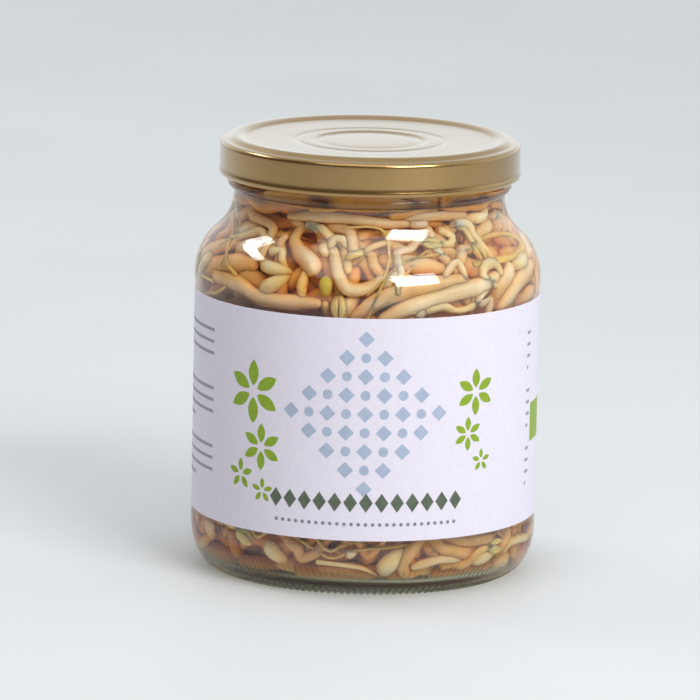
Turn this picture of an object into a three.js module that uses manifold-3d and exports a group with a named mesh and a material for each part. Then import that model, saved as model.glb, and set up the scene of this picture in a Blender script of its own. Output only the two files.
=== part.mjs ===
// Jar of bean sprouts: a round glass food jar packed with sprouts in brine, closed by a
// twist-off metal lid and wrapped in a paper label.
// Millimetres, +Z up. The origin is the centre of the ring the jar stands on, and the
// label's front faces -Y.

import * as THREE from "three";
import { mergeVertices } from "three/addons/utils/BufferGeometryUtils.js";
import Module from "manifold-3d";

const wasm = await Module();
wasm.setup();

// Driving dimensions of the glass
const BODY_R = 39.8; // widest part of the jar
const PANEL_R = 39.3; // recessed band that carries the label
const PANEL_LOW = 13.0;
const PANEL_HIGH = 65.8;
const WALL = 2.6; // glass thickness in the body, shoulder and neck
const BEARING_IN = 31.0; // flat ring that touches the table
const BEARING_OUT = 33.5;
const PUNT = 2.6; // rise of the underside's middle
const HEEL_TOP = 10.0; // where the rounded heel meets the wall
const SHOULDER_LOW = 68.5; // where the shoulder starts to curve in
const SHOULDER_R = 13.0; // its outer curve
const SHOULDER_END = THREE.MathUtils.degToRad(50); // slope at which it turns to the neck
const NECK_R = 31.1;
const BEAD_R = 32.6; // ring of glass just under the lid
const BEAD_LOW = 88.2;
const BEAD_HIGH = 90.9;
const FINISH_R = 31.3; // wall inside the lid
const RIM_Z = 98.1; // sealing edge
const FLOOR_Z = 3.5; // inside floor where it meets the heel
const FLOOR_RISE = 2.4; // how much higher its middle is
const INNER_HEEL = 8.0; // inside corner radius

// The lid
const LID_TOP = 100.2;
const LID_R = 34.5;
const LID_T = 0.4;
const LID_LOW = 91.3;
const PANEL_TOP = 99.3; // flat of the lid inside its raised rim
const LUGS = 4; // twist-off lugs, and glass ridges that they turn under
const LUG_ARC = THREE.MathUtils.degToRad(22);
const LUG_IN = 32.0;
const RIDGE_ARC = THREE.MathUtils.degToRad(64);
const RIDGE_R = 32.7;
const RIDGE_LOW = 92.95;
const RIDGE_RISE = 1.4;
const RIDGE_H = 1.3;

// The label
const LABEL_LOW = 13.8;
const LABEL_HIGH = 64.9;
const LABEL_IN = 39.6;
const LABEL_OUT = 39.75;
const LABEL_GAP = 5.0; // bare glass between its two ends, at the back

// The filling
const GAP = 0.35; // clearance between pieces that touch
const BRINE_LOW = 90.4;
const BRINE_TOP = 93.0;
const MENISCUS = 0.4; // how far the brine's edge is drawn up at the glass
const STEM_R = 2.4; // a plump sprout stem
const HEAD_R = 2.8; // its pair of seed leaves
const SPROUT_SHORT = 42; // length of the shortest sprout
const SPROUT_RANGE = 20; // how much longer the longest one is
const DEPTHS = 2.4; // how much deeper than the rest some sprouts lie
const ROOT_DEPTH = 5; // how deep in the packed middle the root tips end
const TILTS = 0.7; // range of the slopes at which sprouts start, in radians
const BENDS = 0.16; // range of their bends from one point to the next
const HOOK = 0.55; // the same for the hooked neck
const TURNED_BACK = -0.4; // share of its slope a sprout keeps at a layer's edge
const CORE_INSET = 5.6; // how far the packed middle lies inside the glass
const SIDES = 4; // facets round each sprout
const SLIVER = 0.03; // edges shorter than this are merged where sprouts cross
const GOLDEN_ANGLE = Math.PI * (3 - Math.sqrt(5)); // turn from one sprout to the next

const ROUND = 32; // facets round the jar and lid

// Shapes and solids

const v2 = (r, z) => new THREE.Vector2(r, z);

// Points on an ellipse round (r, z), from angle a0 to a1 in degrees, both ends included.
function arc(r, z, radiusR, radiusZ, a0, a1, steps) {
  const points = [];
  for (let i = 0; i <= steps; i++) {
    const a = THREE.MathUtils.degToRad(a0 + ((a1 - a0) * i) / steps);
    points.push(v2(r + radiusR * Math.cos(a), z + radiusZ * Math.sin(a)));
  }
  return points;
}

// A solid of revolution round Z from a profile of (radius, height) points.
function turned(profile, segments = ROUND) {
  return new THREE.LatheGeometry(profile, segments).rotateX(Math.PI / 2);
}

function solidOf(geometry) {
  const bare = geometry.clone();
  bare.deleteAttribute("normal");
  bare.deleteAttribute("uv");
  const merged = mergeVertices(bare, 1e-4);
  return new wasm.Manifold(
    new wasm.Mesh({
      numProp: 3,
      vertProperties: merged.attributes.position.array,
      triVerts: new Uint32Array(merged.index.array),
    }),
  );
}

function geometryOf(solid) {
  const mesh = solid.getMesh();
  const geometry = new THREE.BufferGeometry();
  geometry.setAttribute("position", new THREE.BufferAttribute(mesh.vertProperties, 3));
  geometry.setIndex(new THREE.BufferAttribute(mesh.triVerts, 1));
  geometry.computeVertexNormals();
  return geometry;
}

// A closed skin over rings of points, each ring with the same number of points, with a
// fan from each end ring to an end point.
function skinOver(rings, firstPoint, lastPoint) {
  const sides = rings[0].length;
  const points = [...rings.flat(), firstPoint, lastPoint];
  const first = rings.length * sides;
  const last = first + 1;
  const index = [];
  for (let i = 0; i < sides; i++) {
    const j = (i + 1) % sides;
    for (let k = 0; k + 1 < rings.length; k++) {
      const a = k * sides;
      const b = a + sides;
      index.push(a + i, a + j, b + i, a + j, b + j, b + i);
    }
    const end = (rings.length - 1) * sides;
    index.push(first, j, i, last, end + i, end + j);
  }
  const geometry = new THREE.BufferGeometry().setFromPoints(points);
  geometry.setIndex(index);
  return geometry;
}

// A short block that follows the wall: from angle a0 to a1, its four corners given by a
// function of how far along it is, 0 to 1, as (radius, height) points, anticlockwise.
function wallBlock(a0, a1, corners, steps) {
  const rings = [];
  for (let i = 0; i <= steps; i++) {
    const t = i / steps;
    const a = a0 + (a1 - a0) * t;
    rings.push(
      corners(t)
        .map(([r, z]) => new THREE.Vector3(r * Math.cos(a), r * Math.sin(a), z))
        .reverse(),
    );
  }
  const middle = (ring) =>
    ring.reduce((sum, p) => sum.add(p), new THREE.Vector3()).divideScalar(ring.length);
  return skinOver(rings, middle(rings[0]), middle(rings[steps]));
}

// Radii of the curve that turns the shoulder into the neck, so that both meet smoothly.
const shoulderMid = BODY_R - SHOULDER_R;
const neckCurve =
  (shoulderMid + SHOULDER_R * Math.cos(SHOULDER_END) - NECK_R) / (1 - Math.cos(SHOULDER_END));
const neckMid = NECK_R + neckCurve;
const neckZ = SHOULDER_LOW + (SHOULDER_R + neckCurve) * Math.sin(SHOULDER_END);
const shoulderDeg = THREE.MathUtils.radToDeg(SHOULDER_END);
const innerBody = BODY_R - WALL;
const innerNeck = NECK_R - WALL;
const heelMid = innerBody - INNER_HEEL;
const heelZ = FLOOR_Z + INNER_HEEL;

// Inside radius of the glass at height z.
function innerRadius(z) {
  if (z < heelZ) return heelMid + Math.sqrt(Math.max(0, INNER_HEEL ** 2 - (heelZ - z) ** 2));
  if (z < SHOULDER_LOW) return innerBody;
  const curve = SHOULDER_R - WALL;
  if (z < SHOULDER_LOW + curve * Math.sin(SHOULDER_END))
    return shoulderMid + Math.sqrt(curve ** 2 - (z - SHOULDER_LOW) ** 2);
  if (z < neckZ) return neckMid - Math.sqrt((neckCurve + WALL) ** 2 - (neckZ - z) ** 2);
  return innerNeck;
}

// Radius of a surface that lies a given depth inside the glass, measured square to it.
function insetRadius(z, depth) {
  const step = 0.2;
  const slope = (innerRadius(z + step) - innerRadius(z - step)) / (2 * step);
  return innerRadius(z) - depth * Math.min(Math.hypot(1, slope), 1.8);
}

// Glass jar, with the ridges that the lid's lugs turn under

function glassJar() {
  const rimCurve = 0.7;
  const innerCurve = SHOULDER_R - WALL;
  const body = solidOf(
    turned([
      v2(0, PUNT),
      v2(18, PUNT - 0.4),
      v2(27, PUNT - 1.2),
      v2(BEARING_IN, 0),
      ...arc(BEARING_OUT, HEEL_TOP, BODY_R - BEARING_OUT, HEEL_TOP, -90, 0, 5),
      v2(BODY_R, PANEL_LOW - 0.6),
      v2(PANEL_R, PANEL_LOW),
      v2(PANEL_R, PANEL_HIGH),
      v2(BODY_R, PANEL_HIGH + 0.6),
      ...arc(shoulderMid, SHOULDER_LOW, SHOULDER_R, SHOULDER_R, 0, shoulderDeg, 4),
      ...arc(neckMid, neckZ, neckCurve, neckCurve, 180 + shoulderDeg, 180, 3).slice(1),
      v2(BEAD_R - 0.3, BEAD_LOW),
      v2(BEAD_R, BEAD_LOW + 0.9),
      v2(BEAD_R - 0.2, BEAD_HIGH - 0.6),
      v2(FINISH_R, BEAD_HIGH),
      v2(FINISH_R, RIM_Z - rimCurve),
      v2(FINISH_R - rimCurve, RIM_Z),
      v2(innerNeck + rimCurve, RIM_Z),
      v2(innerNeck, RIM_Z - rimCurve),
      ...arc(neckMid, neckZ, neckCurve + WALL, neckCurve + WALL, 180, 180 + shoulderDeg, 3),
      ...arc(shoulderMid, SHOULDER_LOW, innerCurve, innerCurve, shoulderDeg, 0, 3).slice(1),
      ...arc(heelMid, heelZ, INNER_HEEL, INNER_HEEL, 0, -90, 4),
      v2(15, FLOOR_Z + 0.8 * FLOOR_RISE),
      v2(0, FLOOR_Z + FLOOR_RISE),
    ]),
  );
  const ridges = [];
  for (let i = 0; i < LUGS; i++) {
    const start = (i * 2 * Math.PI) / LUGS - LUG_ARC / 2;
    ridges.push(solidOf(wallBlock(start, start + RIDGE_ARC, ridgeSection, 5)));
  }
  return body.add(wasm.Manifold.union(ridges));
}

// A glass ridge climbs along its length and thins to nothing at both ends.
function ridgeSection(t) {
  const z = RIDGE_LOW + RIDGE_RISE * t;
  const proud = FINISH_R + (RIDGE_R - FINISH_R) * Math.min(1, 0.25 + 3 * t, 0.25 + 3 * (1 - t));
  const root = FINISH_R - 0.6;
  return [
    [root, z],
    [proud, z + 0.3],
    [proud, z + RIDGE_H - 0.4],
    [root, z + RIDGE_H],
  ];
}

// Twist-off lid: a stamped shell with a raised rim, a safety button and a curled edge

function lid() {
  const under = PANEL_TOP - LID_T;
  const corner = 1.1;
  const shell = solidOf(
    turned([
      v2(0, PANEL_TOP - 0.05),
      v2(9.5, PANEL_TOP - 0.15),
      v2(12.0, PANEL_TOP - 0.4),
      v2(12.9, PANEL_TOP),
      v2(15.8, PANEL_TOP),
      v2(16.8, PANEL_TOP - 0.2),
      v2(17.8, PANEL_TOP),
      v2(28.0, PANEL_TOP),
      v2(28.9, LID_TOP - 0.45),
      v2(29.8, LID_TOP - 0.1),
      v2(31.1, LID_TOP),
      v2(31.8, LID_TOP - 0.2),
      v2(32.6, PANEL_TOP - 0.05),
      ...arc(LID_R - corner, LID_TOP - 1.1 - corner, corner, corner, 90, 0, 3),
      v2(LID_R, LID_LOW + 1.6),
      v2(LID_R + 0.2, LID_LOW + 0.9),
      v2(LID_R - 0.2, LID_LOW),
      v2(LID_R - 0.9, LID_LOW),
      v2(LID_R - 1.2, LID_LOW + 0.7),
      v2(LID_R - LID_T, LID_LOW + 1.6),
      v2(LID_R - LID_T, LID_TOP - 2.3),
      v2(LID_R - 1.2, LID_TOP - 1.5),
      v2(32.3, under - 0.05),
      v2(31.5, LID_TOP - 0.25 - LID_T),
      v2(31.0, LID_TOP - LID_T),
      v2(29.9, LID_TOP - 0.1 - LID_T),
      v2(29.1, LID_TOP - 0.4 - LID_T),
      v2(28.1, under),
      v2(17.8, under),
      v2(16.8, under - 0.2),
      v2(15.8, under),
      v2(12.7, under),
      v2(11.9, under - 0.4),
      v2(9.5, under - 0.15),
      v2(0, under - 0.05),
    ].reverse()),
  );
  const lugs = [];
  for (let i = 0; i < LUGS; i++) {
    const middle = (i * 2 * Math.PI) / LUGS;
    lugs.push(solidOf(wallBlock(middle - LUG_ARC / 2, middle + LUG_ARC / 2, lugSection, 4)));
  }
  return shell.add(wasm.Manifold.union(lugs));
}

// A lug is the curled edge pressed inwards, fullest in its middle.
function lugSection(t) {
  const curl = LID_R - 0.9;
  const root = LID_R - 0.5;
  const tip = curl - (curl - LUG_IN) * Math.sin(Math.PI * (0.15 + 0.7 * t));
  return [
    [tip, LID_LOW + 0.5],
    [root, LID_LOW + 0.2],
    [root, LID_LOW + 1.2],
    [tip, LID_LOW + 1.1],
  ];
}

// Soft sealing ring inside the lid, over the glass rim
function sealingRing() {
  const low = RIM_Z + GAP;
  const high = low + 0.9;
  const inside = innerNeck + 0.3;
  const outside = FINISH_R - 0.1;
  return turned([
    v2(inside, low),
    v2(outside, low),
    v2(outside - 0.8, high),
    v2(inside + 0.6, high),
    v2(inside, low),
  ]);
}

// Paper label: a sheet wrapped round the jar, its two ends a few millimetres apart
function paperLabel() {
  const half = LABEL_GAP / 2 / LABEL_OUT;
  const start = Math.PI / 2 + half;
  const end = Math.PI / 2 - half + 2 * Math.PI;
  const section = () => [
    [LABEL_IN, LABEL_LOW],
    [LABEL_OUT, LABEL_LOW],
    [LABEL_OUT, LABEL_HIGH],
    [LABEL_IN, LABEL_HIGH],
  ];
  return wallBlock(start, end, section, 2 * ROUND);
}

// Brine that stands in the neck above the sprouts, its edge drawn up at the glass
function brine() {
  const r = innerNeck - GAP;
  return turned([
    v2(0, BRINE_LOW),
    v2(r - MENISCUS, BRINE_LOW),
    v2(r, BRINE_LOW + MENISCUS),
    v2(r, BRINE_TOP + MENISCUS),
    v2(r - 2 * MENISCUS, BRINE_TOP),
    v2(0, BRINE_TOP),
  ]);
}

// Sprouts

// A repeatable stream of numbers from 0 to 1.
function drawsFrom(seed) {
  let state = seed;
  return () => {
    state = (state * 1664525 + 1013904223) % 4294967296;
    return state / 4294967296;
  };
}

// One sprout: a thin root tip, a plump stem, a narrow hooked neck and the bean's seed
// leaves. path gives the points along it, and its thickness follows how far along it is.
const THICKNESS = [
  [0.08, 1.1],
  [0.26, 2.2],
  [0.45, STEM_R],
  [0.64, 2.1],
  [0.79, 1.3],
  [0.87, HEAD_R],
  [0.96, 2.1],
];

function sprout(path) {
  const curve = new THREE.CatmullRomCurve3(path);
  const rings = [];
  let side = new THREE.Vector3(0, 0, 1);
  for (const [t, radius] of THICKNESS) {
    const middle = curve.getPointAt(t);
    const along = curve.getTangentAt(t);
    side = side.clone().addScaledVector(along, -side.dot(along)).normalize();
    const across = new THREE.Vector3().crossVectors(along, side);
    const ring = [];
    for (let i = 0; i < SIDES; i++) {
      const a = (2 * Math.PI * i) / SIDES;
      ring.push(
        middle
          .clone()
          .addScaledVector(side, radius * Math.cos(a))
          .addScaledVector(across, radius * Math.sin(a)),
      );
    }
    rings.push(ring);
  }
  return solidOf(skinOver(rings, path[0], path[path.length - 1]));
}

// Where one sprout of a layer lies: it wanders round inside the glass, its root tip sunk
// in the packed middle and its seed leaves hooked back against the glass. share, from 0
// to 1, is its height in the layer, and number gives its place round the jar.
function windingPath(draw, share, number, low, high) {
  const steps = 8;
  const rootSteps = 3;
  const hookSteps = 2;
  const stride = (SPROUT_SHORT + SPROUT_RANGE * draw()) / steps;
  const way = draw() < 0.5 ? -1 : 1;
  const hook = share > 0.5 ? -HOOK : HOOK;
  const bend = BENDS * (draw() - 0.5);
  const depth = DEPTHS * draw();
  const margin = HEAD_R + 0.3;
  let turn = GOLDEN_ANGLE * number;
  let z = low + margin + (high - low - 2 * margin) * share;
  let heading = TILTS * (draw() - 0.5);
  const points = [];
  for (let i = 0; i <= steps; i++) {
    const sunk = Math.max(0, ROOT_DEPTH - depth) * Math.max(0, 1 - i / rootSteps);
    const r = insetRadius(z, GAP + HEAD_R + depth + sunk);
    points.push(new THREE.Vector3(r * Math.cos(turn), r * Math.sin(turn), z));
    heading += i < steps - hookSteps ? bend : hook;
    const next = z + stride * Math.sin(heading);
    if (next < low + margin || next > high - margin) heading *= TURNED_BACK;
    turn += (way * stride * Math.cos(heading)) / r;
    z += stride * Math.sin(heading);
  }
  return points;
}

// The packed middle of one layer, from height low to high.
function packedMiddle(low, high) {
  const steps = 4;
  const side = [];
  for (let i = 0; i <= steps; i++) {
    const z = low + ((high - low) * i) / steps;
    side.push(v2(insetRadius(z, CORE_INSET), z));
  }
  return solidOf(turned([v2(0, low), ...side, v2(0, high)], 20));
}

// A layer of the tangle: its packed middle with sprouts all round it, as one solid. Small
// hollows that the sprouts close off are filled, by keeping only the outer skin.
function tangle(seed, count, low, high) {
  const draw = drawsFrom(seed);
  const core = packedMiddle(low + 1.5, high - 1.2);
  const sprouts = Array.from({ length: count }, (_, i) =>
    sprout(windingPath(draw, (i + 0.5) / count, i, low, high)),
  );
  const skins = wasm.Manifold.union([core, ...sprouts]).simplify(SLIVER).decompose();
  return skins.sort((a, b) => b.volume() - a.volume())[0];
}

const LAYERS = [
  { name: "sprouts_lower", seed: 1, count: 16, low: FLOOR_Z + FLOOR_RISE + GAP, high: 22 },
  { name: "sprouts_middle", seed: 210, count: 20, low: 22 + GAP, high: 57 },
  { name: "sprouts_upper", seed: 111, count: 32, low: 57 + 2 * GAP, high: BRINE_LOW - GAP },
];

// Materials, from the photograph

const glass = new THREE.MeshStandardMaterial({
  color: 0xe4eee6,
  roughness: 0.04,
  metalness: 0,
  transparent: true,
  opacity: 0.3,
});
const goldLacquer = new THREE.MeshStandardMaterial({ color: 0xc8b47c, roughness: 0.32, metalness: 0.9 });
const compound = new THREE.MeshStandardMaterial({ color: 0xd9d4c4, roughness: 0.8, metalness: 0 });
const paper = new THREE.MeshStandardMaterial({ color: 0xe6e0ee, roughness: 0.6, metalness: 0 });
const sproutFlesh = new THREE.MeshStandardMaterial({ color: 0xe2cfa4, roughness: 0.45, metalness: 0 });
const brineLiquid = new THREE.MeshStandardMaterial({
  color: 0xb57a2c,
  roughness: 0.05,
  metalness: 0,
  transparent: true,
  opacity: 0.5,
});

// The assembly

function piece(name, geometry, material) {
  const mesh = new THREE.Mesh(geometry, material);
  mesh.name = name;
  return mesh;
}

const jar = new THREE.Group();
jar.add(piece("glass_jar", geometryOf(glassJar()), glass));
jar.add(piece("paper_label", paperLabel(), paper));
jar.add(piece("brine", brine(), brineLiquid));
for (const { name, seed, count, low, high } of LAYERS)
  jar.add(piece(name, geometryOf(tangle(seed, count, low, high)), sproutFlesh));

const closure = new THREE.Group();
closure.add(piece("lid", geometryOf(lid()), goldLacquer));
closure.add(piece("sealing_ring", sealingRing(), compound));

const jarOfSprouts = new THREE.Group();
jarOfSprouts.add(jar, closure);

export default jarOfSprouts;
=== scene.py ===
import math

import bpy
import numpy as np
from mathutils import Matrix, Vector


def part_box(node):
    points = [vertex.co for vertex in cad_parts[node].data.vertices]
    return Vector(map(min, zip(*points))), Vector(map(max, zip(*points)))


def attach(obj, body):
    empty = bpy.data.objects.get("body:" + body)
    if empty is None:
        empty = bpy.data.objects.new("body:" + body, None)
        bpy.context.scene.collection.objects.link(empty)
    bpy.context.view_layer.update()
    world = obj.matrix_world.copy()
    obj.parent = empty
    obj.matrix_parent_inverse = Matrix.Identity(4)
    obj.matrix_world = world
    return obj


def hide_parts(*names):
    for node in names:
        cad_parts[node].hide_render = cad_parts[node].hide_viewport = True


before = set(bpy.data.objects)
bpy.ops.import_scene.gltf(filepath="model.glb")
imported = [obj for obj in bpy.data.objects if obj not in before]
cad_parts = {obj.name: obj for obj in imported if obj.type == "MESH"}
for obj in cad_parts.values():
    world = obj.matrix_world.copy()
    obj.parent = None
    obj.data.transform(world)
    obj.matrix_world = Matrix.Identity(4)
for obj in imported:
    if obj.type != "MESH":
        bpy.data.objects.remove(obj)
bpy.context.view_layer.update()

# Lengths below are in millimetres, and MM turns them into metres.
MM = 0.001


def node_box(node):
    """A CAD node's lowest and highest corners in millimetres."""
    low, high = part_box(node)
    return low / MM, high / MM


# Sizes read from the frame
jar_high = node_box("glass_jar")[1]
label_low, label_high = node_box("paper_label")
brine_high = node_box("brine")[1]
lid_low, lid_high = node_box("lid")
ring_low, ring_high = node_box("sealing_ring")
BODY_R = jar_high.x
RIM_Z = jar_high.z
LABEL_LOW = label_low.z
LABEL_HIGH = label_high.z
LABEL_R = -label_low.y
BRINE_TOP = brine_high.z - 0.4
LID_LOW = lid_low.z
LID_TOP = lid_high.z
CURL_R = lid_high.x

# Sizes of the glass, as in the CAD model
WALL = 2.6
PANEL_R = LABEL_R - 0.17
PANEL_LOW = LABEL_LOW - 0.8
PANEL_HIGH = LABEL_HIGH + 0.9
BEARING_IN = 31.0
BEARING_OUT = 33.5
PUNT = 2.6
HEEL_TOP = 10.0
SHOULDER_LOW = 68.5
SHOULDER_R = 13.0
SHOULDER_END = 50.0
NECK_R = 31.1
BEAD_R = 32.6
BEAD_LOW = 88.2
BEAD_HIGH = 90.9
FINISH_R = 31.3
FLOOR_Z = 3.5
FLOOR_RISE = 2.4
INNER_HEEL = 8.0
KNURLS = 144
KNURL_DEEP = 0.42
GLASS_INDEX = 1.5
BRINE_INDEX = 1.335
SHARP_EDGE = math.radians(50)

# The photograph's camera: the jar leans to the right by ROLL, and WIDTH is what the
# picture's 700 pixels span at the jar's axis.
PIXELS = 700
CAMERA_AWAY = 1500.0
ELEVATION = math.radians(11.0)
ROLL = math.radians(1.2)
WIDTH = 161.5
AIM = Vector((-3.7, 0.0, 50.0))
SENSOR = 36.0
LENS = SENSOR * CAMERA_AWAY / WIDTH


def srgb(red, green, blue):
    """A colour as read from a picture, 0 to 255, in Blender's linear values."""
    linear = [
        c / 12.92 if c <= 0.04045 else ((c + 0.055) / 1.055) ** 2.4
        for c in (red / 255, green / 255, blue / 255)
    ]
    return (*linear, 1.0)


# Curves and meshes


def arc(r, z, radius, start, end, steps):
    """Points round (r, z) from start to end degrees, both ends included."""
    angles = np.radians(np.linspace(start, end, steps + 1))
    return [(r + radius * math.cos(a), z + radius * math.sin(a)) for a in angles]


def at(r, turn, z):
    """The point at radius r, an angle round the jar's axis and height z."""
    return (r * math.cos(turn), r * math.sin(turn), z)


def rounded(profile, rounds=2):
    """The profile with its corners cut, its ends kept."""
    points = np.array(profile, float)
    for _ in range(rounds):
        near = points[:-1] * 0.75 + points[1:] * 0.25
        far = points[:-1] * 0.25 + points[1:] * 0.75
        middle = np.stack([near, far], 1).reshape(-1, 2)[1:-1]
        points = np.vstack([points[:1], middle, points[-1:]])
    return points


def circle(steps):
    """Angles that go once round."""
    return np.linspace(0, 2 * math.pi, steps, endpoint=False)


def round_axis(r, angle, z):
    """Points at radii r, angles round the jar's axis and heights z."""
    return np.stack([r * np.cos(angle), r * np.sin(angle), z + 0 * angle], -1)


def turned(profile, segments, shape=None):
    """Vertices and faces of a solid of revolution, its profile from axis to axis. shape may
    move the rows of points: it takes and gives radius and height arrays."""
    profile = np.array(profile, float)
    angle = circle(segments)
    r, z = (profile[1:-1, k : k + 1] + 0 * angle for k in (0, 1))
    if shape:
        r, z = shape(r, z, angle)
    grid = round_axis(r, angle, z).reshape(-1, 3)
    ends = [(0, 0, profile[0, 1]), (0, 0, profile[-1, 1])]
    return np.vstack([grid, ends]), closed_skin(len(r), segments)


def ring_of(profile, segments):
    """Vertices and faces of a closed ring of revolution from a closed outline."""
    profile = np.array(profile, float)
    grid = round_axis(profile[:, :1], circle(segments), profile[:, 1:])
    return grid.reshape(-1, 3), quads(len(profile), segments, closed_rows=True)


def quads(rows, columns, closed_rows=False, closed_columns=True):
    """Faces between neighbours in a grid of points that is kept row by row. Either way of
    the grid may close on itself."""
    faces = []
    for i in range(rows if closed_rows else rows - 1):
        a, b = i * columns, (i + 1) % rows * columns
        for j in range(columns if closed_columns else columns - 1):
            k = (j + 1) % columns
            faces.append((a + j, a + k, b + k, b + j))
    return faces


def flipped(faces):
    """The faces turned to the other side, each from the same first corner."""
    return [(face[0], *face[:0:-1]) for face in faces]


def closed_skin(rows, columns):
    """Faces over rows of points that go round, with one more point for each end."""
    first, last = rows * columns, rows * columns + 1
    top = (rows - 1) * columns
    faces = quads(rows, columns)
    for j in range(columns):
        k = (j + 1) % columns
        faces += [(first, k, j), (last, top + j, top + k)]
    return faces


def skin_over(rows):
    """A closed skin over rows of points that go round, its two ends closed flat."""
    rows = np.array(rows, float)
    count, sides = rows.shape[:2]
    ends = np.array([rows[0].mean(0), rows[-1].mean(0)])
    return np.vstack([rows.reshape(-1, 3), ends]), flipped(closed_skin(count, sides))


class Gathered:
    """Vertices, faces and tints of many small closed forms that make one piece."""

    def __init__(self):
        self.points = []
        self.faces = []
        self.tints = []
        self.count = 0

    def add(self, points, faces, tint=(1.0, 1.0, 1.0)):
        points = np.asarray(points, float)
        self.points.append(points)
        self.faces += [tuple(self.count + i for i in face) for face in faces]
        self.tints.append(np.broadcast_to(np.asarray(tint, float), (len(points), 3)))
        self.count += len(points)

    def piece(self, name, material, body, slot, replaces=()):
        made = piece(name, np.vstack(self.points), self.faces, material, body, replaces)
        tint = made.data.color_attributes.new("tint", "FLOAT_COLOR", "POINT")
        colours = np.ones((self.count, 4), np.float32)
        colours[:, :3] = np.vstack(self.tints)
        tint.data.foreach_set("color", colours.ravel())
        return made


def piece(name, points, faces, material, body, replaces=()):
    """A smooth mesh, its points in millimetres, that rides on a body and stands for nodes."""
    mesh = bpy.data.meshes.new(name)
    mesh.from_pydata([tuple(p) for p in np.asarray(points) * MM], [], faces)
    mesh.polygons.foreach_set("use_smooth", [True] * len(mesh.polygons))
    mesh.set_sharp_from_angle(angle=SHARP_EDGE)
    mesh.materials.append(material)
    mesh.update()
    made = bpy.data.objects.new(name, mesh)
    bpy.context.scene.collection.objects.link(made)
    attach(made, body)
    if replaces:
        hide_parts(*replaces)
    return made


# Curves of the glass, outside and inside

shoulder_mid = BODY_R - SHOULDER_R
cos_end = math.cos(math.radians(SHOULDER_END))
sin_end = math.sin(math.radians(SHOULDER_END))
neck_curve = (shoulder_mid + SHOULDER_R * cos_end - NECK_R) / (1 - cos_end)
neck_mid = NECK_R + neck_curve
neck_z = SHOULDER_LOW + (SHOULDER_R + neck_curve) * sin_end
inner_body = BODY_R - WALL
inner_neck = NECK_R - WALL
heel_mid = inner_body - INNER_HEEL
heel_z = FLOOR_Z + INNER_HEEL
outer_shoulder = [
    *arc(shoulder_mid, SHOULDER_LOW, SHOULDER_R, 0, SHOULDER_END, 10),
    *arc(neck_mid, neck_z, neck_curve, 180 + SHOULDER_END, 180, 8)[1:],
]


def outer_heel(steps):
    """The outside of the glass, from where it stands up to its side."""
    return [
        (BEARING_OUT + (BODY_R - BEARING_OUT) * math.cos(a), HEEL_TOP * (1 + math.sin(a)))
        for a in np.radians(np.linspace(-90, 0, steps + 1))
    ]


def inner_profile(steps=10, grow=0.0):
    """The glass's inside wall from neck to floor, moved outwards by grow."""
    shoulder = arc(shoulder_mid, SHOULDER_LOW, SHOULDER_R - WALL + grow, SHOULDER_END, 0, steps)
    return [
        *arc(neck_mid, neck_z, neck_curve + WALL - grow, 180, 180 + SHOULDER_END, steps),
        *shoulder[1:],
        *arc(heel_mid, heel_z, INNER_HEEL + grow, 0, -90, steps),
        (22.0, FLOOR_Z - grow + 0.45 * FLOOR_RISE),
        (15.0, FLOOR_Z - grow + 0.8 * FLOOR_RISE),
        (7.0, FLOOR_Z - grow + 0.96 * FLOOR_RISE),
        (0.0, FLOOR_Z - grow + FLOOR_RISE),
    ]


# Materials


def feed(node, **inputs):
    """Sets a node's inputs by name, each to a value or from another node's output."""
    for name, value in inputs.items():
        socket = node.inputs[name.replace("_", " ")]
        if isinstance(value, bpy.types.NodeSocket):
            node.id_data.links.new(value, socket)
        else:
            socket.default_value = value
    return node


def new_node(tree, kind, **inputs):
    return feed(tree.nodes.new("ShaderNode" + kind), **inputs)


def new_material(name):
    material = bpy.data.materials.new(name)
    material.use_nodes = True
    tree = material.node_tree
    return material, tree, tree.nodes["Principled BSDF"]


def grey(value):
    return (value, value, value, 1.0)


def noise(tree, scale, detail=3.0, stretch=(1.0, 1.0, 1.0)):
    """Noise over the object's own space, with scale in features per metre."""
    where = new_node(tree, "TexCoord").outputs["Object"]
    place = new_node(tree, "Mapping", Vector=where, Scale=stretch).outputs["Vector"]
    return new_node(tree, "TexNoise", Vector=place, Scale=scale, Detail=detail).outputs["Fac"]


def ramp(tree, source, *stops):
    """A colour between two stops, each a place from 0 to 1 and its colour."""
    made = new_node(tree, "ValToRGB", Fac=source)
    for element, (place, colour) in zip(made.color_ramp.elements, stops):
        element.position = place
        element.color = colour
    return made.outputs["Color"]


def spread(tree, source, low, high):
    """A number that goes from 0 to 1 while the source goes from low to high."""
    made = new_node(tree, "MapRange", Value=source, From_Min=low, From_Max=high)
    return made.outputs["Result"]


def spread_along(tree, axis, low, high):
    """A number that goes from 0 to 1 between two places on one of the object's own axes."""
    where = new_node(tree, "TexCoord").outputs["Object"]
    return spread(tree, new_node(tree, "SeparateXYZ", Vector=where).outputs[axis], low, high)


def mixed(tree, first, second, share, blend="MIX"):
    mix = new_node(tree, "Mix")
    mix.data_type = "RGBA"
    mix.blend_type = blend
    return feed(mix, Factor=share, A=first, B=second).outputs["Result"]


def multiplied(tree, first, second):
    return mixed(tree, first, second, 1.0, "MULTIPLY")


def bumps(tree, height, strength, distance):
    """A shader's normal, from a height that stands for up to a distance in metres."""
    made = new_node(tree, "Bump", Height=height, Strength=strength, Distance=distance)
    return made.outputs["Normal"]


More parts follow.
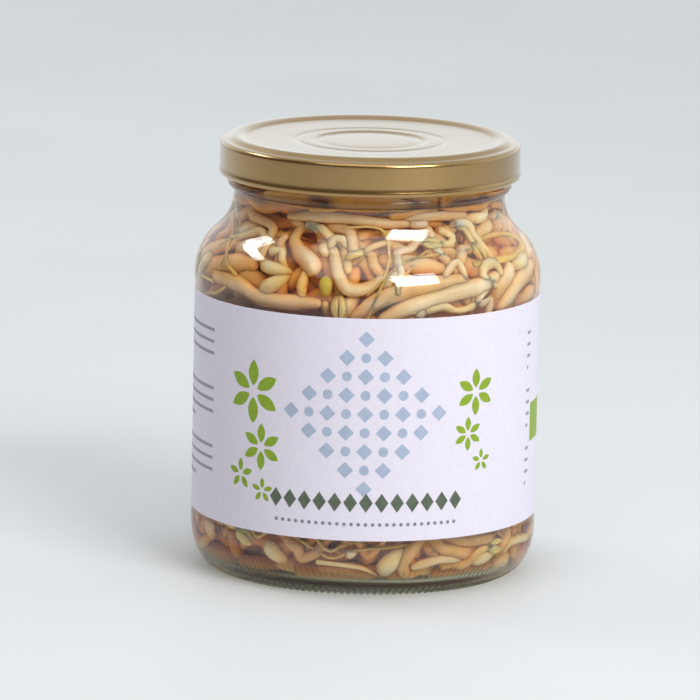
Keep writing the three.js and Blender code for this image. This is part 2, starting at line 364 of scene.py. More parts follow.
def lets_lamps_through(tree, clear, tint):
    """Puts a Transparent shader in for shadow and diffuse rays, so that light reaches what
    is behind the clear surface."""
    path = new_node(tree, "LightPath")
    either = new_node(tree, "Math")
    either.operation = "MAXIMUM"
    tree.links.new(path.outputs["Is Shadow Ray"], either.inputs[0])
    tree.links.new(path.outputs["Is Diffuse Ray"], either.inputs[1])
    bare = new_node(tree, "BsdfTransparent", Color=tint)
    mix = new_node(tree, "MixShader", Fac=either.outputs[0])
    tree.links.new(clear.outputs["BSDF"], mix.inputs[1])
    tree.links.new(bare.outputs["BSDF"], mix.inputs[2])
    feed(tree.nodes["Material Output"], Surface=mix.outputs["Shader"])


def absorbs(tree, colour, density):
    inside = new_node(tree, "VolumeAbsorption", Color=colour, Density=density)
    feed(tree.nodes["Material Output"], Volume=inside.outputs["Volume"])


def jar_glass():
    """Clear glass, faintly green, and a little frosted and greener in its knurled foot."""
    material, tree, shader = new_material("jar_glass")
    above_foot = spread_along(tree, "Z", 2.4 * MM, 3.4 * MM)
    green, clear = (0.92, 1.0, 0.84, 1.0), (0.985, 1.0, 0.99, 1.0)
    feed(
        shader,
        Base_Color=ramp(tree, above_foot, (0.0, green), (1.0, clear)),
        Roughness=ramp(tree, above_foot, (0.0, grey(0.22)), (1.0, grey(0.0))),
        IOR=GLASS_INDEX,
        Transmission_Weight=1.0,
        Normal=bumps(tree, noise(tree, 45.0, 1.0, (1.0, 1.0, 0.6)), 0.12, 0.002),
    )
    lets_lamps_through(tree, shader, (0.97, 0.98, 0.97, 1.0))
    absorbs(tree, (0.72, 0.8, 0.62, 1.0), 35.0)
    return material


def brine_liquid():
    material, tree, shader = new_material("brine_liquid")
    feed(shader, Base_Color=grey(1.0), Roughness=0.0, IOR=BRINE_INDEX, Transmission_Weight=1.0)
    lets_lamps_through(tree, shader, grey(1.0))
    absorbs(tree, (0.965, 0.7, 0.17, 1.0), 330.0)
    return material


def sprout_flesh():
    """Soft pale flesh. Each sprout's own tint comes with its mesh."""
    material, tree, shader = new_material("sprout_flesh")
    tint = new_node(tree, "Attribute")
    tint.attribute_name = "tint"
    blotch = ramp(tree, noise(tree, 260.0, 4.0), (0.3, grey(0.82)), (0.7, grey(1.0)))
    feed(
        shader,
        Base_Color=multiplied(tree, tint.outputs["Color"], blotch),
        Subsurface_Weight=0.8,
        Subsurface_Radius=(1.0, 0.85, 0.65),
        Subsurface_Scale=0.0035,
        Roughness=0.4,
        Specular_IOR_Level=0.15,
        Normal=bumps(tree, noise(tree, 900.0, 3.0), 0.25, 0.0004),
    )
    return material


def gold_lacquer():
    """Gold under a glossy clear coat."""
    material, tree, shader = new_material("gold_lacquer")
    patch = noise(tree, 30.0, 4.0)
    speck = noise(tree, 700.0, 3.0)
    feed(
        shader,
        Base_Color=ramp(tree, patch, (0.3, srgb(160, 127, 72)), (0.7, srgb(172, 139, 84))),
        Metallic=1.0,
        Roughness=ramp(tree, speck, (0.3, grey(0.2)), (0.75, grey(0.25))),
        Coat_Weight=1.0,
        Coat_Roughness=0.12,
        Normal=bumps(tree, noise(tree, 900.0, 2.0), 0.02, 0.0002),
    )
    return material


def seal_compound():
    material, tree, shader = new_material("seal_compound")
    patch = noise(tree, 300.0)
    colour = ramp(tree, patch, (0.3, srgb(214, 208, 192)), (0.7, srgb(226, 221, 208)))
    feed(shader, Base_Color=colour, Roughness=0.7)
    return material


def label_paper(name, dark, light):
    """Coated paper, or ink on it, between two close colours."""
    material, tree, shader = new_material(name)
    fibre = noise(tree, 900.0, 5.0)
    feed(
        shader,
        Base_Color=ramp(tree, fibre, (0.35, srgb(*dark)), (0.65, srgb(*light))),
        Roughness=0.5,
        Specular_IOR_Level=0.35,
        Sheen_Weight=0.03,
        Normal=bumps(tree, fibre, 0.04, 0.0001),
    )
    return material


def floor_paint():
    """Pale paint, with painted shade that makes it darker towards the camera's side."""
    material, tree, shader = new_material("floor_paint")
    patch = noise(tree, 6.0, 4.0)
    paint = ramp(tree, patch, (0.3, srgb(234, 238, 240)), (0.7, srgb(240, 243, 245)))
    # painted shade: the paint is multiplied darker towards the camera's side of the floor
    away = spread_along(tree, "Y", -0.4, 1.8)
    depth = ramp(tree, away, (0.0, grey(0.74)), (1.0, grey(1.0)))
    feed(shader, Base_Color=multiplied(tree, paint, depth), Roughness=0.6)
    return material


# Camera, light and floor


def camera_frame():
    """The camera's place and its right, up and back directions."""
    back = Vector((0, -math.cos(ELEVATION), math.sin(ELEVATION)))
    flat_right = Vector((1, 0, 0))
    flat_up = back.cross(flat_right)
    right = flat_right * math.cos(ROLL) + flat_up * math.sin(ROLL)
    up = flat_up * math.cos(ROLL) - flat_right * math.sin(ROLL)
    return AIM + back * CAMERA_AWAY, right, up, back


def plain_colours():
    """The picture shows colours as they are, with no film look over them."""
    bpy.context.scene.view_settings.view_transform = "Standard"


def make_camera():
    place, right, up, back = camera_frame()
    data = bpy.data.cameras.new("camera")
    data.lens = LENS
    data.sensor_width = SENSOR
    data.clip_end = 20.0
    camera = bpy.data.objects.new("camera", data)
    turn = Matrix((right, up, back)).transposed().to_4x4()
    camera.matrix_world = Matrix.Translation(place * MM) @ turn
    bpy.context.scene.collection.objects.link(camera)
    bpy.context.scene.camera = camera


def softbox(name, azimuth, elevation, away, width, height, watts):
    """A rectangular lamp aimed at the jar. Azimuth is measured from the camera's side,
    towards the right, in degrees."""
    a, e = math.radians(azimuth), math.radians(elevation)
    way = Vector((math.sin(a) * math.cos(e), -math.cos(a) * math.cos(e), math.sin(e)))
    data = bpy.data.lights.new(name, "AREA")
    data.shape = "RECTANGLE"
    data.size = width
    data.size_y = height
    data.energy = watts
    lamp = bpy.data.objects.new(name, data)
    lamp.location = Vector((0, 0, 0.055)) + way * away
    lamp.rotation_euler = (-way).to_track_quat("-Z", "Y").to_euler()
    bpy.context.scene.collection.objects.link(lamp)


def make_light():
    """Two window-like lamps and a broad front one, in a room that is brightest behind."""
    softbox("window_right", 36, 34, 1.3, 0.66, 0.46, 11)
    softbox("window_left", -116, 41, 1.3, 0.5, 0.15, 2.3)
    softbox("front_sheet", -8, 60, 1.6, 1.6, 1.2, 8)
    world = bpy.data.worlds.new("soft_room")
    world.use_nodes = True
    tree = world.node_tree
    where = new_node(tree, "TexCoord").outputs["Generated"]
    lean = new_node(tree, "VectorMath")
    lean.operation = "DOT_PRODUCT"
    tree.links.new(where, lean.inputs[0])
    lean.inputs[1].default_value = (0.5, 1.0, 0.7)
    behind = spread(tree, lean.outputs["Value"], 0.05, 0.65)
    room = ramp(tree, behind, (0.0, (0.19, 0.165, 0.14, 1)), (1.0, (1.0, 1.05, 1.07, 1)))
    height = new_node(tree, "SeparateXYZ", Vector=where).outputs["Z"]
    overhead = ramp(tree, height, (0.2, grey(1.0)), (0.5, grey(0.8)))
    direct = new_node(tree, "LightPath").outputs["Is Camera Ray"]
    seen = mixed(tree, multiplied(tree, room, overhead), (0.78, 0.82, 0.84, 1), direct)
    feed(tree.nodes["Background"], Color=seen, Strength=1.0)
    bpy.context.scene.world = world


def make_floor():
    reach = 4.0
    points_across = 25
    line = np.linspace(-reach, reach, points_across)
    points = [(x, y, 0.0) for y in line for x in line]
    mesh = bpy.data.meshes.new("floor")
    mesh.from_pydata(points, [], quads(points_across, points_across, closed_columns=False))
    mesh.materials.append(floor_paint())
    floor = bpy.data.objects.new("floor", mesh)
    bpy.context.scene.collection.objects.link(floor)


# Glass jar and brine


def knurled(r, z, angle):
    """Cuts fine notches in the glass where it stands and up the lowest part of the heel."""
    share = np.clip((r - BEARING_IN + 0.5) / 1.5, 0, 1) * np.clip((2.1 - z) / 0.9, 0, 1)
    notch = (0.5 - 0.5 * np.cos(KNURLS * angle)) * KNURL_DEEP * share
    return r - notch * 0.7, z + notch


def make_jar(material):
    bead_round = 0.5 * (BEAD_HIGH - BEAD_LOW)
    bead = arc(BEAD_R - bead_round, BEAD_LOW + bead_round, bead_round, -80, 80, 12)
    underside = [(0.0, PUNT), (9.0, PUNT - 0.1), (18.0, PUNT - 0.4), (27.0, PUNT - 1.2), (29.5, 0.7)]
    outside = [
        *underside,
        (BEARING_IN, 0.0), (0.5 * (BEARING_IN + BEARING_OUT), 0.0),
        *outer_heel(16),
        (BODY_R, PANEL_LOW - 0.6), (PANEL_R + 0.1, PANEL_LOW - 0.2), (PANEL_R, PANEL_LOW + 0.2),
        (PANEL_R, PANEL_HIGH - 0.2), (PANEL_R + 0.1, PANEL_HIGH + 0.2), (BODY_R, PANEL_HIGH + 0.7),
        *outer_shoulder,
        (NECK_R, BEAD_LOW - 0.5), (NECK_R + 0.1, BEAD_LOW - 0.15),
        *bead,
        (FINISH_R, BEAD_HIGH + 0.3), (FINISH_R, RIM_Z - 0.7), (FINISH_R - 0.2, RIM_Z - 0.2),
        (FINISH_R - 0.7, RIM_Z), (inner_neck + 0.7, RIM_Z),
        (inner_neck + 0.2, RIM_Z - 0.2), (inner_neck, RIM_Z - 0.7),
    ]
    points, faces = turned(outside + inner_profile(), 4 * KNURLS, knurled)
    piece("clear_jar", points, faces, material, "jar", ["glass_jar"])


def make_brine(material):
    """Brine fills the jar. It laps into the glass by a hair, so that no air shows between."""
    lap = 0.06
    wall = inner_profile(10, lap)
    top = [
        (0.0, BRINE_TOP),
        (inner_neck - 1.5, BRINE_TOP),
        (inner_neck - 0.4, BRINE_TOP + 0.15),
        (inner_neck + lap, BRINE_TOP + 0.4),
    ]
    points, faces = turned((top + wall)[::-1], 160)
    piece("clear_brine", points, faces, material, "jar", ["brine"])


# Lid and its sealing ring


def make_lid(material):
    """The stamped shell with its raised rim, safety button, curled edge and four lugs."""
    panel = LID_TOP - 0.9
    side = CURL_R - 0.2
    thick = 0.4
    under = panel - thick
    button = [(0.0, panel - 0.05), (9.5, panel - 0.15), (11.4, panel - 0.35), (12.2, panel - 0.35)]
    stepped_ring = [(12.9, panel), (15.8, panel), (16.8, panel - 0.25), (17.8, panel)]
    rim = [
        (28.0, panel), (28.9, panel + 0.45), (29.8, LID_TOP - 0.1),
        (31.1, LID_TOP), (31.8, LID_TOP - 0.2), (32.6, LID_TOP - 0.9),
    ]
    skirt = [
        *arc(side - 1.1, LID_TOP - 2.0, 1.1, 80, 0, 6),
        (side, LID_LOW + 3.0), (side, LID_LOW + 1.6), (CURL_R, LID_LOW + 1.0),
        (CURL_R - 0.1, LID_LOW + 0.3), (CURL_R - 0.5, LID_LOW), (side - 0.9, LID_LOW),
        (side - 1.2, LID_LOW + 0.7), (side - thick, LID_LOW + 1.6),
    ]
    inside = [
        (side - thick, LID_TOP - 2.3), (side - 1.2, LID_TOP - 1.5), (32.3, under - 0.05),
        (31.5, LID_TOP - 0.25 - thick), (31.0, LID_TOP - thick), (29.9, LID_TOP - 0.1 - thick),
        (29.1, LID_TOP - 0.4 - thick), (28.1, under), (17.8, under), (16.8, under - 0.2),
        (15.8, under), (12.7, under), (11.9, under - 0.4), (9.5, under - 0.15),
        (0.0, under - 0.05),
    ]
    profile = rounded(button + stepped_ring + rim + skirt + inside)[::-1]
    whole = Gathered()
    whole.add(*turned(profile, 256))
    for i in range(4):
        whole.add(*lug(i * math.pi / 2, side))
    whole.piece("twist_off_lid", material, "lid", "lid_lacquer", ["lid"])


def lug(middle, side):
    """The curled edge pressed inwards over a short arc, fullest in its middle."""
    half = math.radians(11)
    rows = []
    for t in np.linspace(0, 1, 17):
        a = middle - half + 2 * half * t
        tip = side - 0.9 - 1.6 * math.sin(math.pi * (0.1 + 0.8 * t))
        section = [
            (tip + 0.2, LID_LOW + 0.45), (side - 0.6, LID_LOW + 0.2), (side - 0.6, LID_LOW + 1.25),
            (tip + 0.2, LID_LOW + 1.15), (tip, LID_LOW + 0.8),
        ]
        rows.append([at(r, a, z) for r, z in section])
    return skin_over(rows)


def make_sealing_ring(material):
    low, high = ring_low.z, ring_high.z
    wide, narrow = inner_neck + 0.3, ring_high.x
    outline = [
        (wide, low + 0.15), (wide + 0.2, low), (narrow - 0.2, low), (narrow, low + 0.15),
        (narrow - 0.7, high - 0.1), (narrow - 0.9, high), (wide + 0.7, high), (wide + 0.5, high - 0.1),
    ]
    points, faces = ring_of(outline, 160)
    piece("lid_seal", points, faces, material, "lid", ["sealing_ring"])


# Label: a sheet of paper with a plain printed pattern. s is the distance round the jar
# from the middle of the front, to the right as seen from there.

PAPER = 0.15
PRINT = 0.025
LABEL_GAP = 5.0


def on_label(s, z, r):
    """Points on the jar's side at distance s round it, height z and radius r."""
    return round_axis(r, s / LABEL_R - math.pi / 2, z)


def wrapped(grid, inner, outer):
    """A closed thin sheet on the jar's side from a grid of (s, z) points."""
    grid = np.array(grid, float)
    rows, columns = grid.shape[:2]
    skins = [on_label(grid[..., 0], grid[..., 1], r).reshape(-1, 3) for r in (outer, inner)]
    back = rows * columns
    faces = quads(rows, columns, closed_columns=False)
    faces += [tuple(back + i for i in face) for face in flipped(faces)]
    edge = [j for j in range(columns)]
    edge += [i * columns + columns - 1 for i in range(1, rows)]
    edge += [(rows - 1) * columns + j for j in range(columns - 2, -1, -1)]
    edge += [i * columns for i in range(rows - 2, 0, -1)]
    for a, b in zip(edge, edge[1:] + edge[:1]):
        faces.append((a, back + a, back + b, b))
    return np.vstack(skins), faces


class Print(Gathered):
    """Ink of one colour on the label."""

    def lay(self, name, dark, light):
        self.piece(name, label_paper(name + "_ink", dark, light), "jar", "label_paper")

    def patch(self, grid):
        self.add(*wrapped(grid, LABEL_R - PRINT, LABEL_R + PRINT))

    def leaf(self, s, z, length, width, angle, blunt=0.8):
        """A pointed leaf that starts at (s, z) and points along angle in degrees."""
        a = math.radians(angle)
        along = np.array([math.cos(a), math.sin(a)])
        across = np.array([-along[1], along[0]])
        grid = []
        for t in np.linspace(0, 1, 9):
            half = 0.5 * width * (math.sin(math.pi * t) ** blunt + 0.02)
            middle = np.array([s, z]) + along * length * t
            grid.append([middle - across * half * v for v in np.linspace(-1, 1, 5)])
        self.patch(grid)

    def lozenge(self, s, z, wide, high):
        grid = []
        for t in np.linspace(-1, 1, 7):
            half = 0.5 * high * (1 - abs(t)) + 0.02
            grid.append([(s + 0.5 * wide * t, z + half * v) for v in (-1, 0, 1)])
        self.patch(np.array(grid).transpose(1, 0, 2))

    def dot(self, s, z, radius):
        grid = []
        for t in np.linspace(-90, 90, 7):
            a = math.radians(t)
            half = radius * math.cos(a) + 0.01
            grid.append([(s + radius * math.sin(a), z + half * v) for v in (-1, 0, 1)])
        self.patch(np.array(grid).transpose(1, 0, 2))

    def bar(self, s0, s1, z0, z1):
        steps = max(2, int(abs(s1 - s0) / 1.2) + 1)
        self.patch([[(s, z) for s in np.linspace(s0, s1, steps)] for z in (z0, z1)])

    def whorl(self, s, z, leaves, length, width, start=90.0):
        """Leaves round a small bare middle."""
        for i in range(leaves):
            angle = start + 360 * i / leaves
            a = math.radians(angle)
            gap = 0.22 * length
            self.leaf(s + gap * math.cos(a), z + gap * math.sin(a), length, width, angle)


def make_label():
    paper = label_paper("paper_white", (222, 217, 231), (226, 221, 235))
    half = math.pi * LABEL_R - LABEL_GAP / 2
    sheet = [
        [(s, z) for s in np.linspace(-half, half, 193)]
        for z in np.linspace(LABEL_LOW, LABEL_HIGH, 12)
    ]
    points, faces = wrapped(sheet, LABEL_R - PAPER, LABEL_R)
    piece("label_sheet", points, faces, paper, "jar", ["paper_label"])
    lattice_print()
    leaf_print()
    row_print()
    rule_print()


def lattice_print():
    """A pale blue-grey diamond of lozenges with dots between them, in the middle."""
    made = Print()
    middle, reach, step = 43.0, 4, 4.3
    for i in range(-reach, reach + 1):
        for j in range(-reach, reach + 1):
            if abs(i) + abs(j) > reach:
                continue
            s, z = step * i, middle + step * j
            if (i + j) % 2:
                made.dot(s, z, 1.15)
            else:
                made.lozenge(s, z, 3.7, 3.7)
    made.lay("print_lattice", (160, 174, 198), (170, 183, 205))


def leaf_print():
    """Green whorls of leaves on both sides, and a plain green panel at the right."""
    made = Print()
    for s, z, leaves, length in (
        (-27.5, 46.0, 6, 6.0),
        (-25.0, 33.5, 6, 4.4),
        (-31.0, 26.5, 5, 3.0),
        (-24.5, 23.5, 5, 2.4),
        (27.0, 47.0, 6, 4.4),
        (25.0, 37.5, 6, 3.2),
        (29.0, 31.0, 5, 2.2),
    ):
        made.whorl(s, z, leaves, length, 0.48 * length)
    made.bar(50.0, 60.0, 32.0, 41.0)
    made.lay("print_leaves", (130, 160, 36), (141, 170, 46))


def row_print():
    """A dark row of lozenges with a finer row of dots under it."""
    made = Print()
    for i in range(-6, 7):
        made.lozenge(3.55 * i + 0.6, 22.6, 3.1, 4.4)
    made.lay("print_row", (82, 94, 78), (94, 106, 88))
    fine = Print()
    for i in range(-13, 14):
        fine.dot(1.62 * i + 0.6, 17.6, 0.42)
    fine.lay("print_dots", (128, 120, 134), (140, 132, 146))


def rule_print():
    """Columns of fine plain rules on the sides and round the back."""
    made = Print()
    draw = Draws(11)
    for left, right in ((-110, -84), (-76, -42), (47, 49), (64, 86), (92, 112)):
        for i in range(15):
            z = LABEL_HIGH - 7.5 - 2.7 * i
            if i % 5 == 4:
                continue
            length = (right - left) * (1.0 if i % 5 < 3 else 0.35 + 0.4 * draw())
            made.bar(left, left + length, z, z + 0.75)
    made.lay("print_rules", (146, 140, 156), (158, 152, 168))


# Sprouts


class Draws:
    """A repeatable stream of numbers from 0 to 1."""

    def __init__(self, seed):
        self.state = seed

    def __call__(self, low=0.0, high=1.0):
        self.state = (self.state * 1664525 + 1013904223) % 4294967296
        return low + (high - low) * self.state / 4294967296


# How far sprouts keep from the glass, and how far a spare one may reach into a held one
GAP = 0.35
MOST_OVERLAP = 1.0
GOLDEN_ANGLE = math.pi * (3 - math.sqrt(5))
SPACING = 2.0
LAYER_DEEP = 9.5
CORE_DEEP = 6.5
CAD_RADIUS = 1.85
PUSH = 0.4
PULL = 0.25
# Strewn bean halves keep behind this y, because the photograph shows what lies before it.
FRONT = -20
BEAN_THICK = 1.2

# The inside of the glass as a table of radii over its height
wall_rows = [p for p in inner_profile(24) if p[0] > heel_mid]
wall_rows = np.array([(inner_neck, RIM_Z), *wall_rows])[::-1]
LEVELS = np.linspace(FLOOR_Z, RIM_Z, 800)
WALL_RADII = np.interp(LEVELS, wall_rows[:, 1], wall_rows[:, 0])
WALL_SLOPES = np.minimum(np.hypot(1, np.gradient(WALL_RADII, LEVELS)), 1.8)


def inner_radius_at(z):
    return np.interp(z, LEVELS, WALL_RADII)


def inset_radius(z, depth):
    """Radius of the surface that lies a given depth inside the glass's inner wall."""
    return inner_radius_at(z) - depth * np.interp(z, LEVELS, WALL_SLOPES)


# Looking into the jar, through glass and brine

OUTER = np.array([*outer_heel(12), *outer_shoulder, (NECK_R, RIM_Z)])


def seen_at(pixels, depth):
    """Points inside the jar that show at the given pixels of the photograph, at a depth
    inside the glass's inner wall. The line of sight bends where it enters the jar."""
    pixels = np.asarray(pixels, float)
    depth = np.broadcast_to(np.asarray(depth, float), len(pixels))
    place, right, up, back = (np.array(v) for v in camera_frame())
    off = (pixels - PIXELS / 2) / PIXELS * WIDTH / CAMERA_AWAY
    way = -back + off[:, :1] * right - off[:, 1:] * up
    way /= np.linalg.norm(way, axis=1, keepdims=True)
    points = []
    for ray, deep in zip(way, depth):
        reach = np.arange(CAMERA_AWAY - 70, CAMERA_AWAY + 30, 0.1)
        line = place + reach[:, None] * ray
        r = np.hypot(line[:, 0], line[:, 1])
        inside = r < np.interp(line[:, 2], OUTER[:, 1], OUTER[:, 0])
        hit = line[np.argmax(inside)] if inside.any() else line[np.argmin(r)]
        slope = np.interp(hit[2] + np.array([-0.3, 0.3]), OUTER[:, 1], OUTER[:, 0])
        normal = np.array([hit[0], hit[1], 0.0]) / math.hypot(hit[0], hit[1])
        normal[2] = -(slope[1] - slope[0]) / 0.6
        normal /= np.linalg.norm(normal)
        ratio = 1 / BRINE_INDEX
        cosine = -ray @ normal
        bent = ratio * ray + (ratio * cosine - math.sqrt(1 - ratio**2 * (1 - cosine**2))) * normal
        line = hit + np.arange(0, 60, 0.1)[:, None] * bent
        r = np.hypot(line[:, 0], line[:, 1])
        deep_enough = r <= inset_radius(line[:, 2], deep)
        point = line[np.argmax(deep_enough)] if deep_enough.any() else line[20]
        point[2] = max(point[2], FLOOR_Z + deep + 0.2)
        points.append(point)
    return np.array(points)


def tint_of(red, green, blue):
    return np.array(srgb(red, green, blue)[:3])


IVORY = tint_of(255, 224, 202)
PINKISH = tint_of(252, 211, 184)
CREAM = tint_of(255, 225, 188)
YELLOW = tint_of(250, 212, 138)
GREENISH = tint_of(214, 198, 100)
AMBER = tint_of(214, 164, 104)
BROWN = tint_of(128, 84, 42)
# Painted shade: the lower layer's sprouts are tinted darker and browner, and the ones round its floor
# darker still.
PAINTED_SHADE_LOW = np.array([0.82, 0.62, 0.41])
PAINTED_SHADE_FLOOR = np.array([0.8, 0.72, 0.64])
# Painted shade: the ring of sprouts under the lid is tinted a deeper orange amber than their own
# colour.
PAINTED_SHADE_NECK = np.array([1.1, 0.9, 0.55])

# Thickness along a sprout as shares of its stem's: root, stem, hook, head end
SPROUT = np.array([(0, 0.2), (0.07, 0.3), (0.2, 0.8), (0.35, 1), (0.7, 0.95), (0.9, 0.6), (1, 0.5)])
STEM = np.array([(0, 0.75), (0.2, 1), (0.8, 1), (1, 0.7)])
CLUB = np.array([(0, 0.5), (0.3, 0.55), (0.7, 1), (1, 0.95)])
ROOT = np.array([(0, 1), (0.8, 0.8), (1, 0.4)])


# The sprouts that stand out in the photograph between lid and label, and under the label.
# Each has its thickness, its depth behind the glass, its form, its tint, the pixels that it
# passes in the photograph, and the tint of its seed leaves if it has them.
SEEN_ABOVE = {
    "bent stem": (4.0, 0.0, CLUB, IVORY,
     [(296, 222), (303, 227), (295, 238), (300, 251), (309, 261), (313, 267)]),
    "long stem": (3.1, 0.0, STEM, PINKISH,
     [(217, 276), (242, 285), (258, 296), (281, 301), (317, 303)]),
    "root loop": (0.7, 0.0, ROOT, YELLOW,
     [(344, 228), (371, 227), (385, 233), (389, 253), (385, 276), (367, 296)]),
    "pale bow": (2.8, 0.3, STEM, IVORY,
     [(333, 250), (336, 262), (340, 279), (350, 290), (368, 288), (381, 280)]),
    "bow head": (2.0, 0.1, STEM, CREAM, [(331, 247), (334, 240), (342, 239), (346, 246)]),
    "small sprout": (1.8, 0.5, STEM, CREAM, [(388, 243), (376, 246), (364, 252)], YELLOW),
    "diagonal one": (3.5, 0.2, STEM, PINKISH,
     [(355, 316), (374, 303), (394, 294), (434, 285), (463, 281)]),
    "diagonal two": (3.6, 0.0, STEM, IVORY,
     [(384, 318), (416, 304), (450, 293), (480, 286), (494, 277)]),
    "hook ring": (2.2, 0.2, STEM, CREAM,
     [(494, 284), (484, 279), (482, 270), (488, 264), (496, 265), (500, 273)]),
    "folded loop": (1.7, 0.3, STEM, IVORY,
     [(444, 277), (450, 268), (456, 262), (462, 270), (465, 278)]),
    "right stem": (3.8, 0.2, STEM, IVORY, [(500, 305), (509, 293), (518, 281), (530, 265)]),
    "right bow": (1.7, 0.6, STEM, YELLOW,
     [(474, 243), (490, 236), (507, 235), (521, 243), (516, 255), (496, 261), (474, 265)]),
    "neck stem": (2.9, 0.4, STEM, PINKISH,
     [(292, 216), (320, 217), (348, 219), (380, 223), (405, 224)]),
    "neck stem right": (2.8, 0.6, STEM, PINKISH, [(407, 219), (432, 216), (462, 215)]),
    "behind shine": (3.6, 0.5, STEM, PINKISH, [(384, 261), (400, 263), (416, 265), (440, 269)]),
    "upper stub": (2.8, 1.0, STEM, PINKISH, [(384, 234), (398, 237), (412, 241)]),
    "curly": (1.8, 0.2, STEM, CREAM,
     [(421, 313), (430, 309), (444, 306), (455, 310), (466, 308), (475, 303)], CREAM),
    "left stem": (4.0, 0.6, STEM, PINKISH, [(209, 268), (225, 265), (240, 264), (254, 266)]),
    "left upper": (3.4, 0.8, STEM, PINKISH, [(203, 254), (214, 249), (225, 245), (237, 244)]),
    "left filler": (3.2, 1.6, STEM, PINKISH, [(236, 273), (248, 277), (260, 281), (270, 290)]),
    "pale post": (2.4, 1.0, STEM, CREAM, [(305, 275), (302, 285), (303, 298)]),
    "brown loop": (0.9, 0.6, ROOT, BROWN,
     [(461, 232), (464, 236), (464, 241), (461, 244), (459, 240), (460, 234)]),
}
SEEN_BELOW = {
    "root": (1.0, 0.0, ROOT, CREAM, [(318, 562), (335, 564), (350, 566), (362, 568), (376, 575)]),
    "pale stem": (3.2, 0.3, STEM, IVORY, [(282, 567), (300, 571), (317, 575), (348, 577)]),
    "hook stem": (1.8, 0.2, STEM, IVORY, [(413, 567), (426, 563), (440, 559), (457, 559)]),
    "short stem": (3.0, 0.3, STEM, IVORY, [(416, 572), (433, 573), (450, 572)]),
    "right curl": (2.0, 0.2, STEM, CREAM, [(503, 549), (509, 542), (518, 539), (526, 537)]),
    "amber stem": (2.6, 0.6, STEM, AMBER, [(232, 536), (236, 548), (243, 562)]),
}

# Loose bean halves seen above and below the label: the pixels of the middle and of one end,
# the width and the tint
BEANS_ABOVE = (
    ((275, 269), (291, 273), 2.9, CREAM),
    ((274, 284), (289, 277), 3.2, CREAM),
    ((326, 287), (326, 298), 3.0, GREENISH),
    ((421, 313), (427, 309), 2.4, IVORY),
    ((520, 262), (512, 268), 3.2, CREAM),
)
BEANS_BELOW = (
    ((276, 553), (288, 563), 3.6, CREAM),
    ((391, 561), (404, 549), 3.9, CREAM),
    ((351, 554), (357, 553), 2.0, IVORY),
    ((485, 553), (499, 545), 3.4, CREAM),
    ((500, 559), (510, 553), 4.4, PINKISH),
    ((211, 530), (213, 541), 4.4, PINKISH),
)


class Strand:
    """One sprout, or a part of one: points along it, its thickness and its colour."""

    def __init__(self, points, radius, form, tint, held=False, head=None):
        self.points = spaced(points)
        self.radius = radius
        self.form = form
        self.tint = np.array(tint)
        self.held = held
        self.head = head

    def radii(self, count):
        t = np.linspace(0, 1, count)
        return self.radius * np.interp(t, self.form[:, 0], self.form[:, 1])


def spaced(points):
    """The same line with evenly spaced points."""
    points = through(np.asarray(points, float), 6)
    length = np.concatenate([[0], np.cumsum(np.linalg.norm(np.diff(points, axis=0), axis=1))])
    count = max(3, int(round(length[-1] / SPACING)) + 1)
    at = np.linspace(0, length[-1], count)
    return np.stack([np.interp(at, length, points[:, k]) for k in range(3)], 1)


def through(points, parts):
    """A smooth line through the points, with each stretch cut into parts."""
    ends = [2 * points[0] - points[1], *points, 2 * points[-1] - points[-2]]
    p = np.array(ends)
    t = (np.arange(parts) / parts)[:, None]
    out = []
    for i in range(1, len(p) - 2):
        a, b, c, d = p[i - 1], p[i], p[i + 1], p[i + 2]
        bend = (2 * a - 5 * b + 4 * c - d) * t**2
        out.append(0.5 * (2 * b + (c - a) * t + bend + (3 * b - a - 3 * c + d) * t**3))
    return np.vstack([*out, points[-1:]])


def relax(strands, low, high, rounds=90):
    """Moves loose strands until they lie beside each other, between the glass and the
    packed middle. Held strands stay where they are."""
    counts = [len(s.points) for s in strands]
    place = np.vstack([s.points for s in strands])
    radius = np.concatenate([s.radii(n) for s, n in zip(strands, counts)])
    owner = np.repeat(np.arange(len(strands)), counts)
    loose = np.repeat([0.0 if s.held else 1.0 for s in strands], counts)[:, None]
    total = len(place)
    links = []
    for step in (1, 2):
        a = np.arange(total - step)
        a = a[owner[a] == owner[a + step]]
        links.append((a, a + step, np.linalg.norm(place[a] - place[a + step], axis=1)))
    for turn in range(rounds):
        if turn % 9 == 0:
            near = close_pairs(place, radius, owner)
        a, b = near
        gap = place[a] - place[b]
        far = np.linalg.norm(gap, axis=1) + 1e-6
        overlap = np.maximum(0, radius[a] + radius[b] - far)
        push = gap / far[:, None] * (overlap * PUSH)[:, None]
        place += loose * scattered(total, a, b, push)
        for a, b, rest in links:
            gap = place[a] - place[b]
            far = np.linalg.norm(gap, axis=1) + 1e-6
            pull = -gap * ((far - rest) / far * PULL)[:, None]
            place += loose * scattered(total, a, b, pull)
        kept_in(place, radius, loose, low, high)
    at = 0
    for strand, count in zip(strands, counts):
        strand.points = place[at : at + count]
        at += count


def without_crowded(strands, guards, spare):
    """The strands, without those spare ones that ended up pushed into a held one."""
    held = [s for s in strands + guards if s.held]
    if not held:
        return strands
    place = np.vstack([s.points for s in held])
    radius = np.concatenate([s.radii(len(s.points)) for s in held])
    kept = []
    for strand in strands:
        far = np.linalg.norm(strand.points[:, None] - place[None], axis=2)
        overlap = strand.radii(len(strand.points))[:, None] + radius[None] - far
        if strand not in spare or overlap.max() < MOST_OVERLAP:
            kept.append(strand)
    return kept


def scattered(total, a, b, push):
    """Adds each pair's push to its first point and takes it from its second."""
    return np.stack(
        [np.bincount(a, p, total) - np.bincount(b, p, total) for p in push.T], 1
    )


